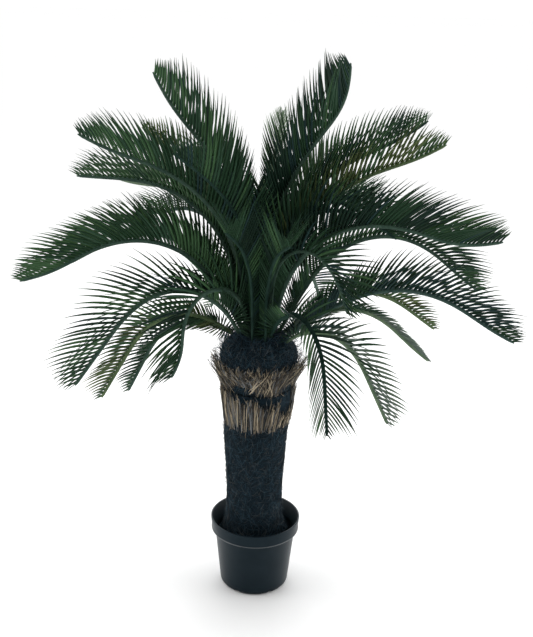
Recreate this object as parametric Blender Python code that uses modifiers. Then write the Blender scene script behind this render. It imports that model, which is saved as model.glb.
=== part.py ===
"""Artificial sago palm standing in a round nursery pot. Metres, +Z up, front towards -Y."""

import math
import random

import bmesh
import bpy
import numpy as np
from mathutils import Vector
from mathutils.bvhtree import BVHTree

# Pot
POT_HEIGHT = 0.163
RIM_RADIUS = 0.100
BAND_HEIGHT = 0.029
BAND_FOOT_RADIUS = 0.0975
BODY_TOP_RADIUS = 0.0905
BODY_FOOT_RADIUS = 0.0775
FOOT_RADIUS = 0.0705
FOOT_ROUND = 0.011
POT_WALL = 0.003
POT_FLOOR = 0.008
NOTCH_COUNT = 6
NOTCH_WIDTH = 0.013
NOTCH_HEIGHT = 0.0055
GAP = 0.0003

# Fill, trunk, collars and crown
FILL_TOP = 0.122
TRUNK_PROFILE = (
    (0.0800, FILL_TOP + GAP),
    (0.0745, 0.130),
    (0.0665, 0.145),
    (0.0620, 0.165),
    (0.0600, 0.190),
    (0.0595, 0.225),
    (0.0605, 0.260),
    (0.0630, 0.300),
    (0.0660, 0.345),
    (0.0680, 0.385),
    (0.0685, 0.400),
)
TRUNK_NECK_RADIUS = 0.0640
TRUNK_TOP = 0.530
# Sideways place of the trunk's axis at four heights: it leans a little and comes back
TRUNK_SHIFTS = ((FILL_TOP, -0.003), (0.370, -0.004), (0.400, -0.0015), (TRUNK_TOP, 0.0))
TRUNK_SIDES = 32
COLLAR_TEETH = 22
LOWER_COLLAR = (0.0700, 0.400, 0.0815, 0.482)
UPPER_COLLAR = (0.0750, 0.489, 0.0900, 0.542)
CROWN_SHOULDER = (0.0740, 0.570)
CROWN_TOP = (0.0460, 0.600)
CROWN_PROFILE = (
    (0.0755, TRUNK_TOP + GAP),
    (0.0785, 0.540),
    (0.0790, 0.552),
    (0.0770, 0.563),
    CROWN_SHOULDER,
    CROWN_TOP,
)

# Fronds
RIB_STATIONS = 30
RIB_BASE_HALF = 0.0038
RIB_TIP_HALF = 0.0020
PETIOLE_SHARE = 0.13
BEND_SPREAD = 0.40
CURL_START = 0.75
LEAFLET_REACH = 0.140
LEAFLET_SWEEP = 47.0
LEAFLET_TIP_SWEEP = 40.0
TAPER_START = 0.80
LEAFLET_LIFT = 57.0
CLEARANCE = 0.0007
TRIES = (1.0, 0.85, 0.7, 0.56, 0.44, 0.32, 0.2)

GREEN = (0.020, 0.058, 0.032, 1.0)
BLUE_GREEN = (0.022, 0.060, 0.056, 1.0)
YELLOW_GREEN = (0.105, 0.150, 0.045, 1.0)
PALE_GREEN = (0.150, 0.210, 0.130, 1.0)

# name: bearing of the frond, foot distance from the axis in mm, rise at the foot, fall at the
# tip, share of the length at the middle of the bend, curl of the tip, length, leaflet reach,
# tint. Angles in degrees, bearing 0 towards +X, 90 towards +Y.
FRONDS = {
    "frond_upper_left": (178, 9, 87, 47, 0.48, 16, 0.587, 0.94, "green"),
    "frond_upper_right": (13, 3, 90, 50, 0.45, 40, 0.597, 0.98, "green"),
    "frond_back_top": (80, 14, 84, 25, 0.60, 20, 0.52, 0.50, "pale"),
    "frond_front_left": (218, 15, 88, 36, 0.52, 0, 0.47, 0.76, "green"),
    "frond_left_1": (188, 22, 81, 15, 0.51, 14, 0.585, 0.86, "green"),
    "frond_left_2": (168, 29, 78, -3, 0.52, 4, 0.56, 0.80, "green"),
    "frond_left_3": (146, 22, 81, 16, 0.54, 18, 0.54, 0.66, "yellow"),
    "frond_left_4": (150, 32, 78, -12, 0.55, 20, 0.52, 0.80, "pale"),
    "frond_left_5": (174, 38, 68, -30, 0.50, 0, 0.495, 0.88, "green"),
    "frond_left_6": (194, 35, 62, -34, 0.50, 22, 0.565, 0.80, "green"),
    "frond_right_1": (20, 13, 86, 18, 0.46, 14, 0.615, 0.80, "green"),
    "frond_right_2": (8, 29, 80, 14, 0.50, 14, 0.575, 0.80, "yellow"),
    "frond_right_3": (343, 29, 80, -15, 0.42, 30, 0.605, 0.92, "green"),
    "frond_right_4": (7, 43, 62, -46, 0.52, 10, 0.565, 0.82, "green"),
    "frond_right_5": (347, 20, 88, -34, 0.60, 0, 0.475, 0.75, "green"),
    "frond_low_left_1": (199, 46, 64, -53, 0.36, 0, 0.47, 0.98, "green"),
    "frond_low_left_2": (164, 58, 33, -60, 0.32, 0, 0.43, 0.66, "yellow"),
    "frond_low_left_3": (214, 30, 82, -88, 0.42, 30, 0.365, 0.90, "green"),
    "frond_low_left_4": (155, 62, 22, -62, 0.34, 0, 0.375, 0.50, "green"),
    "frond_low_right_1": (354, 54, 36, -38, 0.52, 12, 0.532, 0.82, "blue"),
    "frond_low_right_2": (20, 54, 37, -37, 0.45, 0, 0.420, 0.50, "yellow"),
    "frond_low_right_3": (8, 58, 42, -44, 0.38, 5, 0.378, 0.34, "green"),
    "frond_low_right_4": (336, 60, 48, -62, 0.30, 0, 0.332, 0.60, "green"),
    "frond_low_right_5": (302, 42, 61, -81, 0.37, 0, 0.395, 0.80, "green"),
    "frond_front_right": (317, 30, 88, -66, 0.57, 0, 0.405, 0.75, "green"),
    "frond_front_1": (252, 50, 88, 28, 0.50, 0, 0.34, 0.80, "green"),
    "frond_front_2": (284, 50, 88, 22, 0.50, 0, 0.33, 0.80, "green"),
    "frond_back_left": (116, 22, 82, 4, 0.50, 20, 0.52, 0.85, "green"),
    "frond_back_right": (56, 22, 82, 6, 0.50, 20, 0.53, 0.85, "green"),
    "frond_rear_1": (94, 33, 70, -34, 0.44, 10, 0.50, 0.80, "green"),
    "frond_rear_2": (128, 36, 70, -20, 0.47, 10, 0.53, 0.80, "green"),
    "frond_rear_3": (52, 36, 72, -12, 0.48, 10, 0.54, 0.80, "green"),
    "frond_rear_4": (66, 47, 56, -52, 0.40, 0, 0.45, 0.80, "green"),
    "frond_rear_5": (108, 47, 54, -52, 0.40, 0, 0.46, 0.85, "green"),
}

# Fronds that are turned about their rib, and those whose leaflets rise or sweep by another
# angle than the rest, in degrees.
ROLL = {"frond_low_right_5": 21, "frond_low_left_3": 28, "frond_front_right": -12}
LIFTS = {"frond_low_right_5": 50, "frond_low_left_1": 48}
SWEEPS = {"frond_low_right_3": 26}


def clear_scene():
    for obj in list(bpy.data.objects):
        bpy.data.objects.remove(obj, do_unlink=True)
    for group in list(bpy.data.collections):
        bpy.data.collections.remove(group)


def new_collection(name):
    group = bpy.data.collections.new(name)
    bpy.context.scene.collection.children.link(group)
    return group


def make_material(name, color, roughness):
    mat = bpy.data.materials.new(name)
    mat.use_nodes = True
    mat.diffuse_color = color
    shader = mat.node_tree.nodes["Principled BSDF"]
    shader.inputs["Base Color"].default_value = color
    shader.inputs["Roughness"].default_value = roughness
    return mat


def new_object(name, verts, faces, group, mat, smooth=True):
    mesh = bpy.data.meshes.new(name)
    mesh.from_pydata([tuple(v) for v in verts], [], faces)
    mesh.update()
    obj = bpy.data.objects.new(name, mesh)
    group.objects.link(obj)
    obj.data.materials.append(mat)
    for face in mesh.polygons:
        face.use_smooth = smooth
    return obj


def turned(name, profile, steps, group, mat):
    """Solid of revolution from (radius, height) points that run down its outer side."""
    verts = [(r, 0.0, z) for r, z in profile]
    mesh = bpy.data.meshes.new(name)
    mesh.from_pydata(verts, [(i, i + 1) for i in range(len(verts) - 1)], [])
    obj = bpy.data.objects.new(name, mesh)
    group.objects.link(obj)
    obj.data.materials.append(mat)
    screw = obj.modifiers.new("turn", "SCREW")
    screw.axis = "Z"
    screw.steps = steps
    screw.render_steps = steps
    screw.use_smooth_shade = True
    screw.use_merge_vertices = True
    screw.merge_threshold = 0.00005
    return obj


def lean_at(height):
    heights, shifts = zip(*TRUNK_SHIFTS)
    return float(np.interp(height, heights, shifts))


def ring_of(radius, height, sides, shift=0.0):
    out = []
    for i in range(sides):
        a = 2 * math.pi * i / sides
        out.append((radius * math.cos(a) + shift, radius * math.sin(a), height))
    return out


def loft(name, rings, group, mat):
    """Closed stack of equal rings, from the lowest to the highest, with flat ends."""
    sides = len(rings[0])
    verts = [p for ring in rings for p in ring]
    faces = [tuple(reversed(range(sides)))]
    for k in range(len(rings) - 1):
        a = k * sides
        for i in range(sides):
            j = (i + 1) % sides
            faces.append((a + i, a + j, a + sides + j, a + sides + i))
    faces.append(tuple(range((len(rings) - 1) * sides, len(rings) * sides)))
    return new_object(name, verts, faces, group, mat)


def body_radius(height):
    """Outside of the pot's tapered body."""
    low = FOOT_ROUND
    high = POT_HEIGHT - BAND_HEIGHT
    share = (height - low) / (high - low)
    return BODY_FOOT_RADIUS + (BODY_TOP_RADIUS - BODY_FOOT_RADIUS) * share


def make_pot(group, cutters, mat):
    band_foot = POT_HEIGHT - BAND_HEIGHT
    inner_foot = body_radius(POT_FLOOR + 0.004) - POT_WALL
    profile = [
        (0.0, POT_FLOOR),
        (inner_foot - 0.006, POT_FLOOR),
        (inner_foot, POT_FLOOR + 0.006),
        (body_radius(band_foot) - POT_WALL, band_foot),
        (RIM_RADIUS - POT_WALL, POT_HEIGHT - 0.001),
        (RIM_RADIUS - POT_WALL + 0.001, POT_HEIGHT),
        (RIM_RADIUS - 0.001, POT_HEIGHT),
        (RIM_RADIUS, POT_HEIGHT - 0.001),
        (BAND_FOOT_RADIUS, band_foot + 0.001),
        (BAND_FOOT_RADIUS - 0.001, band_foot),
        (body_radius(band_foot), band_foot),
        (body_radius(FOOT_ROUND), FOOT_ROUND),
    ]
    for k in range(1, 5):
        a = math.radians(90 * k / 4)
        profile.append(
            (
                FOOT_RADIUS + (BODY_FOOT_RADIUS - FOOT_RADIUS) * math.cos(a),
                FOOT_ROUND * (1 - math.sin(a)),
            )
        )
    profile.append((0.0, 0.0))
    pot = turned("pot", profile, 48, group, mat)
    for k in range(NOTCH_COUNT):
        a = math.radians(360 * k / NOTCH_COUNT)
        bpy.ops.mesh.primitive_cube_add(size=1.0)
        cutter = bpy.context.object
        cutter.name = f"notch_cutter_{k + 1}"
        for owner in list(cutter.users_collection):
            owner.objects.unlink(cutter)
        cutters.objects.link(cutter)
        cutter.scale = (0.020, NOTCH_WIDTH, 2 * NOTCH_HEIGHT)
        cutter.rotation_euler = (0.0, 0.0, a)
        cutter.location = (0.0765 * math.cos(a), 0.0765 * math.sin(a), 0.0)
        cutter.hide_render = True
        cutter.display_type = "WIRE"
        cut = pot.modifiers.new(f"notch_{k + 1}", "BOOLEAN")
        cut.operation = "DIFFERENCE"
        cut.solver = "EXACT"
        cut.object = cutter
    return pot


def make_fill(group, mat):
    """Ballast and moss that fill the pot up to the trunk's foot."""
    foot = body_radius(POT_FLOOR + 0.004) - POT_WALL
    top = body_radius(FILL_TOP) - POT_WALL
    profile = [
        (0.0, FILL_TOP),
        (top - GAP - 0.0025, FILL_TOP),
        (top - GAP - 0.0005, FILL_TOP - 0.003),
        (foot - GAP - 0.0005, POT_FLOOR + 0.007),
        (foot - 0.0075, POT_FLOOR + GAP),
        (0.0, POT_FLOOR + GAP),
    ]
    return turned("pot_fill", profile, 32, group, mat)


def make_trunk(group, mat):
    rng = random.Random(11)
    rings = []
    for k, (radius, height) in enumerate(TRUNK_PROFILE):
        ring = ring_of(radius, height, TRUNK_SIDES, lean_at(height))
        if 0 < k < len(TRUNK_PROFILE) - 1:
            ring = [
                (x * f, y * f, z)
                for x, y, z in ring
                for f in [1 + rng.uniform(-0.012, 0.012)]
            ]
        rings.append(ring)
    for height in (TRUNK_PROFILE[-1][1], TRUNK_TOP):
        rings.append(ring_of(TRUNK_NECK_RADIUS, height, TRUNK_SIDES, lean_at(height)))
    return loft("trunk", rings, group, mat)


def make_collar(name, sizes, seed, group, mat):
    """Flaring ring of cut leaf bases: its top edge and its outside are toothed."""
    rng = random.Random(seed)
    low_radius, low, high_radius, high = sizes
    inner = TRUNK_NECK_RADIUS + GAP + 0.0002
    flat = min(high, TRUNK_TOP) - 0.002
    count = 2 * COLLAR_TEETH
    sections = []
    for i in range(count):
        a = 2 * math.pi * i / count
        tooth = i % 2 == 0
        out = rng.uniform(0.0, 0.0025) if tooth else rng.uniform(-0.005, -0.003)
        tip = rng.uniform(-0.004, 0.002) if tooth else rng.uniform(-0.014, -0.009)
        top = high + tip
        mid = 0.5 * (low + top)
        mid_radius = low_radius + 0.42 * (high_radius - low_radius) + out
        crest = high_radius + out - (0.0 if tooth else 0.003)
        keep_out = CROWN_PROFILE[1][0] + 0.0012 if high > TRUNK_TOP else inner + 0.004
        lip = max(crest - 0.0055, keep_out)
        profile = [
            (inner, low + GAP),
            (low_radius + 0.5 * out, low + GAP),
            (mid_radius, mid),
            (crest, top),
            (lip, top - 0.002),
            (lip - 0.001, flat - (0.0 if high > TRUNK_TOP else 0.012)),
            (inner, flat - (0.0 if high > TRUNK_TOP else 0.012)),
        ]
        sections.append(
            [
                (r * math.cos(a) + lean_at(z), r * math.sin(a), z)
                for r, z in profile
            ]
        )
    per = len(sections[0])
    verts = [p for section in sections for p in section]
    faces = []
    for i in range(count):
        j = (i + 1) % count
        for k in range(per):
            m = (k + 1) % per
            faces.append((i * per + k, j * per + k, j * per + m, i * per + m))
    return new_object(name, verts, faces, group, mat, smooth=False)


def make_crown(group, mat):
    rings = [ring_of(r, z, TRUNK_SIDES) for r, z in CROWN_PROFILE]
    return loft("crown_fibre", rings, group, mat)


def ease(t):
    t = np.clip(t, 0.0, 1.0)
    return t * t * (3 - 2 * t)


def spine_of(bearing, foot, rise, fall, bend, curl, length):
    """Points of a frond's midline, from its foot on the crown to its tip."""
    share = np.linspace(0.0, 1.0, RIB_STATIONS)
    mid = 0.5 * (share[1:] + share[:-1])
    turn = ease((mid - bend + BEND_SPREAD) / (2 * BEND_SPREAD))
    tip = ease((mid - CURL_START) / (1 - CURL_START))
    climb = np.radians(rise + (fall - rise) * turn + curl * tip)
    heading = math.radians(bearing)
    step = length / (RIB_STATIONS - 1)
    way = np.stack(
        [
            np.cos(climb) * math.cos(heading),
            np.cos(climb) * math.sin(heading),
            np.sin(climb),
        ],
        axis=1,
    )
    radius = foot / 1000
    drop = (CROWN_TOP[1] - CROWN_SHOULDER[1]) / (CROWN_SHOULDER[0] - CROWN_TOP[0])
    height = CROWN_TOP[1] - max(0.0, radius - CROWN_TOP[0]) * drop
    start = [radius * math.cos(heading), radius * math.sin(heading), height]
    points = np.vstack([start, start + np.cumsum(way * step, axis=0)])
    return share, points


def frames_of(points, bearing, roll):
    """Tangent, sideways and upper direction at each point of a midline."""
    tangents = np.gradient(points, axis=0)
    tangents /= np.linalg.norm(tangents, axis=1, keepdims=True)
    heading = math.radians(bearing)
    level = np.array([math.sin(heading), -math.cos(heading), 0.0])
    crown = np.cross(level, tangents)
    turn = math.radians(roll)
    side = level * math.cos(turn) - crown * math.sin(turn)
    upper = crown * math.cos(turn) + level * math.sin(turn)
    return tangents, side, upper


def rib_rings(share, points, tangents, side, upper, foot, bearing):
    half = RIB_BASE_HALF + (RIB_TIP_HALF - RIB_BASE_HALF) * share
    rings = []
    for k in range(len(points)):
        across = side[k] * half[k]
        along = upper[k] * half[k] * 0.9
        centre = points[k]
        rings.append(
            [
                centre + across + along,
                centre - across + along,
                centre - across - along,
                centre + across - along,
            ]
        )
    heading = math.radians(bearing)
    if foot / 1000 > CROWN_TOP[0]:
        run = CROWN_SHOULDER[0] - CROWN_TOP[0]
        fall = CROWN_TOP[1] - CROWN_SHOULDER[1]
        normal = np.array([fall * math.cos(heading), fall * math.sin(heading), run])
        normal /= np.linalg.norm(normal)
    else:
        normal = np.array([0.0, 0.0, 1.0])
    base = points[0] + normal * 0.0004
    way = tangents[0]
    rings[0] = [p + way * np.dot(base - p, normal) / np.dot(way, normal) for p in rings[0]]
    return rings


def leaflet_length(share):
    """Share of the full reach: short by the bare petiole and towards the tip."""
    start = float(ease((share - PETIOLE_SHARE) / 0.30))
    end = max(0.0, (share - TAPER_START) / (1 - TAPER_START)) ** 1.1
    return (0.52 + 0.48 * start) * (1 - 0.80 * end)


def apex_of(ring_a, ring_b, hand, share, frame, angles, reach, cut):
    """Tip of the leaflet that grows from one side face of a rib segment."""
    tangent, side, upper = frame
    pick = (0, 3) if hand > 0 else (1, 2)
    middle = (ring_a[pick[0]] + ring_a[pick[1]] + ring_b[pick[0]] + ring_b[pick[1]]) / 4
    sweep = angles[0] + (LEAFLET_TIP_SWEEP - LEAFLET_SWEEP) * float(ease((share - 0.6) / 0.4))
    sweep, lift = math.radians(sweep), math.radians(angles[1])
    outward = hand * side * math.cos(lift) + upper * math.sin(lift)
    way = tangent * math.cos(sweep) + outward * math.sin(sweep)
    return middle + way * LEAFLET_REACH * reach * leaflet_length(share) * cut


def corners_of(ring_a, ring_b, hand):
    if hand > 0:
        return [ring_a[0], ring_a[3], ring_b[3], ring_b[0]]
    return [ring_a[2], ring_a[1], ring_b[1], ring_b[2]]


def tree_of(triangles):
    verts = [Vector(p) for tri in triangles for p in tri]
    faces = [(3 * i, 3 * i + 1, 3 * i + 2) for i in range(len(triangles))]
    return BVHTree.FromPolygons(verts, faces, epsilon=CLEARANCE)


def rib_triangles(rings):
    out = []
    for a, b in zip(rings[:-1], rings[1:]):
        for i in range(4):
            j = (i + 1) % 4
            out.append((a[i], a[j], b[j]))
            out.append((a[i], b[j], b[i]))
    return out


def fan(corners, apex):
    return [(corners[i], corners[(i + 1) % 4], apex) for i in range(4)]


def grow_fronds():
    """Ribs first, then leaflets from the tips inwards, each cut back until it is clear."""
    fronds = {}
    for name, row in FRONDS.items():
        bearing, foot, rise, fall, bend, curl, length, reach, tint = row
        share, points = spine_of(bearing, foot, rise, fall, bend, curl, length)
        tangents, side, upper = frames_of(points, bearing, ROLL.get(name, 0))
        rings = rib_rings(share, points, tangents, side, upper, foot, bearing)
        fronds[name] = {
            "share": share,
            "rings": rings,
            "frames": (tangents, side, upper),
            "reach": reach,
            "tint": tint,
            "apexes": {},
        }
    ribs = {name: rib_triangles(frond["rings"]) for name, frond in fronds.items()}
    others = {
        name: tree_of([tri for key, tris in ribs.items() if key != name for tri in tris])
        for name in fronds
    }
    placed = {name: [] for name in fronds}
    for k in range(RIB_STATIONS - 2, 0, -1):
        for name, frond in fronds.items():
            share = 0.5 * (frond["share"][k] + frond["share"][k + 1])
            if share < PETIOLE_SHARE:
                continue
            tangents, side, upper = frond["frames"]
            rings = frond["rings"]
            angles = SWEEPS.get(name, LEAFLET_SWEEP), LIFTS.get(name, LEAFLET_LIFT)
            rest = [tri for key, tris in placed.items() if key != name for tri in tris]
            leaves = tree_of(rest) if rest else None
            for hand in (1, -1):
                corners = corners_of(rings[k], rings[k + 1], hand)
                for cut in TRIES:
                    apex = apex_of(
                        rings[k], rings[k + 1], hand, share, (tangents[k], side[k], upper[k]),
                        angles, frond["reach"], cut,
                    )
                    blade = fan(corners, apex)
                    probe = tree_of(blade)
                    if probe.overlap(others[name]):
                        continue
                    if leaves is not None and probe.overlap(leaves):
                        continue
                    frond["apexes"][k, hand] = apex
                    placed[name].extend(blade)
                    break
    return fronds


def make_frond(name, frond, group, mat):
    rings = frond["rings"]
    verts = [p for ring in rings for p in ring]
    faces = [(3, 2, 1, 0)]
    last = len(rings) - 1
    for k in range(last):
        a = 4 * k
        b = a + 4
        faces.append((a, a + 1, b + 1, b))
        faces.append((a + 2, a + 3, b + 3, b + 2))
        for hand, quad in ((1, (a + 3, a, b, b + 3)), (-1, (a + 1, a + 2, b + 2, b + 1))):
            apex = frond["apexes"].get((k, hand))
            if apex is None:
                faces.append(quad)
                continue
            verts.append(apex)
            tip = len(verts) - 1
            for i in range(4):
                faces.append((quad[i], quad[(i + 1) % 4], tip))
    faces.append((4 * last, 4 * last + 1, 4 * last + 2, 4 * last + 3))
    obj = new_object(name, verts, faces, group, mat, smooth=False)
    work = bmesh.new()
    work.from_mesh(obj.data)
    bmesh.ops.recalc_face_normals(work, faces=work.faces)
    work.to_mesh(obj.data)
    work.free()
    return obj


def main():
    clear_scene()
    group = new_collection("sago_palm")
    cutters = new_collection("cutters")
    cutters.hide_render = True
    pot_mat = make_material("pot_plastic", (0.020, 0.022, 0.026, 1.0), 0.55)
    fill_mat = make_material("fill_moss", (0.012, 0.012, 0.013, 1.0), 0.95)
    fibre_mat = make_material("trunk_fibre", (0.014, 0.016, 0.020, 1.0), 0.95)
    stub_mat = make_material("leaf_base", (0.150, 0.105, 0.068, 1.0), 0.85)
    tints = {
        "green": make_material("frond_green", GREEN, 0.6),
        "blue": make_material("frond_blue_green", BLUE_GREEN, 0.6),
        "yellow": make_material("frond_yellow_green", YELLOW_GREEN, 0.6),
        "pale": make_material("frond_pale_green", PALE_GREEN, 0.6),
    }
    make_pot(group, cutters, pot_mat)
    make_fill(group, fill_mat)
    make_trunk(group, fibre_mat)
    make_collar("collar_lower", LOWER_COLLAR, 3, group, stub_mat)
    make_collar("collar_upper", UPPER_COLLAR, 5, group, stub_mat)
    make_crown(group, fibre_mat)
    for name, frond in grow_fronds().items():
        make_frond(name, frond, group, tints[frond["tint"]])


if __name__ == "__main__":
    main()
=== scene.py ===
"""Looks of an artificial sago palm in a nursery pot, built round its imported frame."""

import math

import bpy
import numpy as np
from mathutils import Matrix, Vector, noise


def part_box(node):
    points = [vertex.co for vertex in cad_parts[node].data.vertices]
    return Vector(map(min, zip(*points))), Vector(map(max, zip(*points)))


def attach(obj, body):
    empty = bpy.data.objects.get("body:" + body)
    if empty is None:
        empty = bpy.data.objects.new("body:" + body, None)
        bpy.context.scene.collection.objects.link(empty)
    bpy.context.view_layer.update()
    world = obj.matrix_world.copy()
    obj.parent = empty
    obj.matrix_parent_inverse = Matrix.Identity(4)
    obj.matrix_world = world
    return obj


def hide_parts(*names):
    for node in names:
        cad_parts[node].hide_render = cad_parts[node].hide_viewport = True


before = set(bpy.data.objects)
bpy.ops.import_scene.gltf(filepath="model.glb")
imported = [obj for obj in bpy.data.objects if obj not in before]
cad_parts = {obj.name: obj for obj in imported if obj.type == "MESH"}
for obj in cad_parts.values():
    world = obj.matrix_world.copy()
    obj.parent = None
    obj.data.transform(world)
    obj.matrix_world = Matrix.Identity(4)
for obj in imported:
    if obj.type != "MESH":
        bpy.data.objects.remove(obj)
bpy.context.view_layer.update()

# Sizes of the pot, in metres. Front is -Y.
POT_LOW, POT_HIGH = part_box("pot")
POT_HEIGHT = POT_HIGH.z
RIM_RADIUS = 0.5 * (POT_HIGH.x - POT_LOW.x)
FILL_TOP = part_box("pot_fill")[1].z
TRUNK_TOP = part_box("trunk")[1].z
BAND_HEIGHT = 0.029
BAND_FOOT_RADIUS = 0.0975
BODY_TOP_RADIUS = 0.0905
BODY_FOOT_RADIUS = 0.0775
FOOT_RADIUS = 0.0705
FOOT_ROUND = 0.011
POT_WALL = 0.003
POT_FLOOR = 0.008
FLOOR_ROUND = 0.004
NOTCH_COUNT = 6
NOTCH_WIDTH = 0.013
NOTCH_HEIGHT = 0.0055
NOTCH_DEPTH = 0.020
NOTCH_RADIUS = 0.0765
NOTCH_BEVEL = 0.0012
POT_AROUND = 144
ROUND_STEPS = 8

# Trunk, collars and crown. A profile runs upwards as (radius, height).
TRUNK_PROFILE = (
    (0.0790, FILL_TOP - 0.002), (0.0745, 0.130), (0.0665, 0.145), (0.0620, 0.165),
    (0.0600, 0.190), (0.0595, 0.225), (0.0605, 0.260), (0.0630, 0.300), (0.0660, 0.345),
    (0.0680, 0.385), (0.0685, 0.400), (0.0660, 0.408), (0.0640, TRUNK_TOP),
)
# Sideways place of the trunk's axis at four heights: it leans a little and comes back
TRUNK_SHIFTS = ((FILL_TOP, -0.003), (0.370, -0.004), (0.400, -0.0015), (TRUNK_TOP, 0.0))
NECK_RADIUS = 0.0645
LOWER_CORE = ((0.0675, 0.401), (0.0705, 0.425), (0.0725, 0.455), (0.0720, 0.478))
UPPER_CORE = ((0.0700, 0.482), (0.0730, 0.495), (0.0755, 0.515), (0.0760, 0.529))
CROWN_SHOULDER = (0.0740, 0.570)
CROWN_TOP = (0.0460, 0.600)
CROWN_PROFILE = (
    (0.0740, TRUNK_TOP + 0.001), (0.0775, 0.538), (0.0785, 0.552), (0.0765, 0.563),
    CROWN_SHOULDER, (0.0600, 0.586), CROWN_TOP,
)
# Lumps on them and on the fill: distance between rings, points in a ring, how far lumps reach
RELIEF_STEP = 0.0026
RELIEF_AROUND = 168
TRUNK_LUMPS = 0.0030
COLLAR_LUMPS = 0.0022
CROWN_LUMPS = 0.0052
FILL_LUMPS = 0.0028
# Where the collars' edges leave the fibre bare: bearing and half width in degrees, depth in m
LOWER_DIPS = (
    (243, 17, 0.014), (285, 20, 0.026), (323, 19, 0.050), (60, 16, 0.020), (140, 12, 0.016),
)
UPPER_LIFTS = ((240, 24, 0.020), (276, 10, 0.006), (326, 14, 0.014), (70, 20, 0.012))
FAN_MIDDLE = math.radians(262)
# Where the two collars meet, and how far a strip at either side stands out at most
COLLAR_SEAM = 0.487
LOWER_FLARE = 0.004
UPPER_FLARE = 0.021

# The source's rule for a frond. Lengths in metres, angles in degrees, places along the frond as
# shares of its length.
RIB_STATIONS = 61
RIB_BASE_HALF = 0.0038
RIB_TIP_HALF = 0.0020
PETIOLE_SHARE = 0.13
BEND_SPREAD = 0.40
CURL_START = 0.75
LEAFLET_REACH = 0.140
LEAFLET_SWEEP = 47.0
LEAFLET_TIP_SWEEP = 40.0
TAPER_START = 0.80
LEAFLET_LIFT = 57.0
FIRST_LEAFLET = 0.025
# Finer than in the source: the leaflets' pitch, width, last place, section and stations
LEAFLET_PITCH = 0.0082
LEAFLET_WIDTH = 0.0055
LAST_LEAFLET = 0.988
LEAFLET_SECTION = ((1.0, 0.30), (0.0, 0.10), (-1.0, 0.30), (0.0, -0.12))
LEAFLET_STEPS = 7
RIB_SECTION = (
    (1.0, 0.10), (1.30, 1.55), (1.02, 1.60), (0.30, 0.52), (-0.30, 0.52), (-1.02, 1.60),
    (-1.30, 1.55), (-1.0, 0.10), (-0.78, -0.62), (-0.30, -0.95), (0.30, -0.95), (0.78, -0.62),
)
# The first leaflets stand twice as close up to this share, are narrower, spread wider, lift less
# and, where they hang, point this far below level
FOOT_SHARE = 0.22
FOOT_WIDTH = 0.66
FOOT_SPREAD = 62.0
FOOT_LEAN = 34.0
HANG_ANGLE = 30.0

# name: bearing of the frond, foot distance from the axis in mm, rise at the foot, fall at the
# tip, share of the length at the middle of the bend, curl of the tip, length, leaflet reach,
# tint. Angles in degrees, bearing 0 towards +X, 90 towards +Y.
FRONDS = {
    "upper_left": (178, 9, 87, 47, 0.48, 16, 0.587, 0.94, "green"),
    "upper_right": (13, 3, 90, 50, 0.45, 40, 0.597, 0.98, "green"),
    "back_top": (80, 14, 84, 25, 0.60, 20, 0.52, 0.50, "pale"),
    "front_left": (218, 15, 88, 36, 0.52, 0, 0.47, 0.76, "green"),
    "left_1": (188, 22, 81, 15, 0.51, 14, 0.585, 0.86, "green"),
    "left_2": (168, 29, 78, -3, 0.52, 4, 0.56, 0.80, "green"),
    "left_3": (146, 22, 81, 16, 0.54, 18, 0.54, 0.66, "yellow"),
    "left_4": (150, 32, 78, -12, 0.55, 20, 0.52, 0.80, "pale"),
    "left_5": (174, 38, 68, -30, 0.50, 0, 0.495, 0.88, "green"),
    "left_6": (194, 35, 62, -34, 0.50, 22, 0.565, 0.80, "green"),
    "right_1": (20, 13, 86, 18, 0.46, 14, 0.615, 0.80, "green"),
    "right_2": (8, 29, 80, 14, 0.50, 14, 0.575, 0.80, "yellow"),
    "right_3": (343, 29, 80, -15, 0.42, 30, 0.605, 0.92, "green"),
    "right_4": (7, 43, 62, -46, 0.52, 10, 0.565, 0.82, "green"),
    "right_5": (347, 20, 88, -34, 0.60, 0, 0.475, 0.75, "green"),
    "low_left_1": (199, 46, 64, -53, 0.36, 0, 0.47, 0.98, "green"),
    "low_left_2": (164, 58, 33, -60, 0.32, 0, 0.43, 0.66, "yellow"),
    "low_left_3": (214, 30, 82, -88, 0.42, 30, 0.365, 0.90, "green"),
    "low_left_4": (155, 62, 22, -62, 0.34, 0, 0.375, 0.50, "green"),
    "low_right_1": (354, 54, 36, -38, 0.52, 12, 0.532, 0.82, "blue"),
    "low_right_2": (20, 54, 37, -37, 0.45, 0, 0.420, 0.50, "yellow"),
    "low_right_3": (8, 58, 42, -44, 0.38, 5, 0.378, 0.34, "green"),
    "low_right_4": (336, 60, 48, -62, 0.30, 0, 0.332, 0.60, "green"),
    "low_right_5": (302, 42, 61, -81, 0.37, 0, 0.395, 0.80, "green"),
    "front_right": (317, 30, 88, -66, 0.57, 0, 0.405, 0.75, "green"),
    "front_1": (252, 50, 88, 28, 0.50, 0, 0.34, 0.80, "green"),
    "front_2": (284, 50, 88, 22, 0.50, 0, 0.33, 0.80, "green"),
    "back_left": (116, 22, 82, 4, 0.50, 20, 0.52, 0.85, "green"),
    "back_right": (56, 22, 82, 6, 0.50, 20, 0.53, 0.85, "green"),
    "rear_1": (94, 33, 70, -34, 0.44, 10, 0.50, 0.80, "green"),
    "rear_2": (128, 36, 70, -20, 0.47, 10, 0.53, 0.80, "green"),
    "rear_3": (52, 36, 72, -12, 0.48, 10, 0.54, 0.80, "green"),
    "rear_4": (66, 47, 56, -52, 0.40, 0, 0.45, 0.80, "green"),
    "rear_5": (108, 47, 54, -52, 0.40, 0, 0.46, 0.85, "green"),
}
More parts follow.
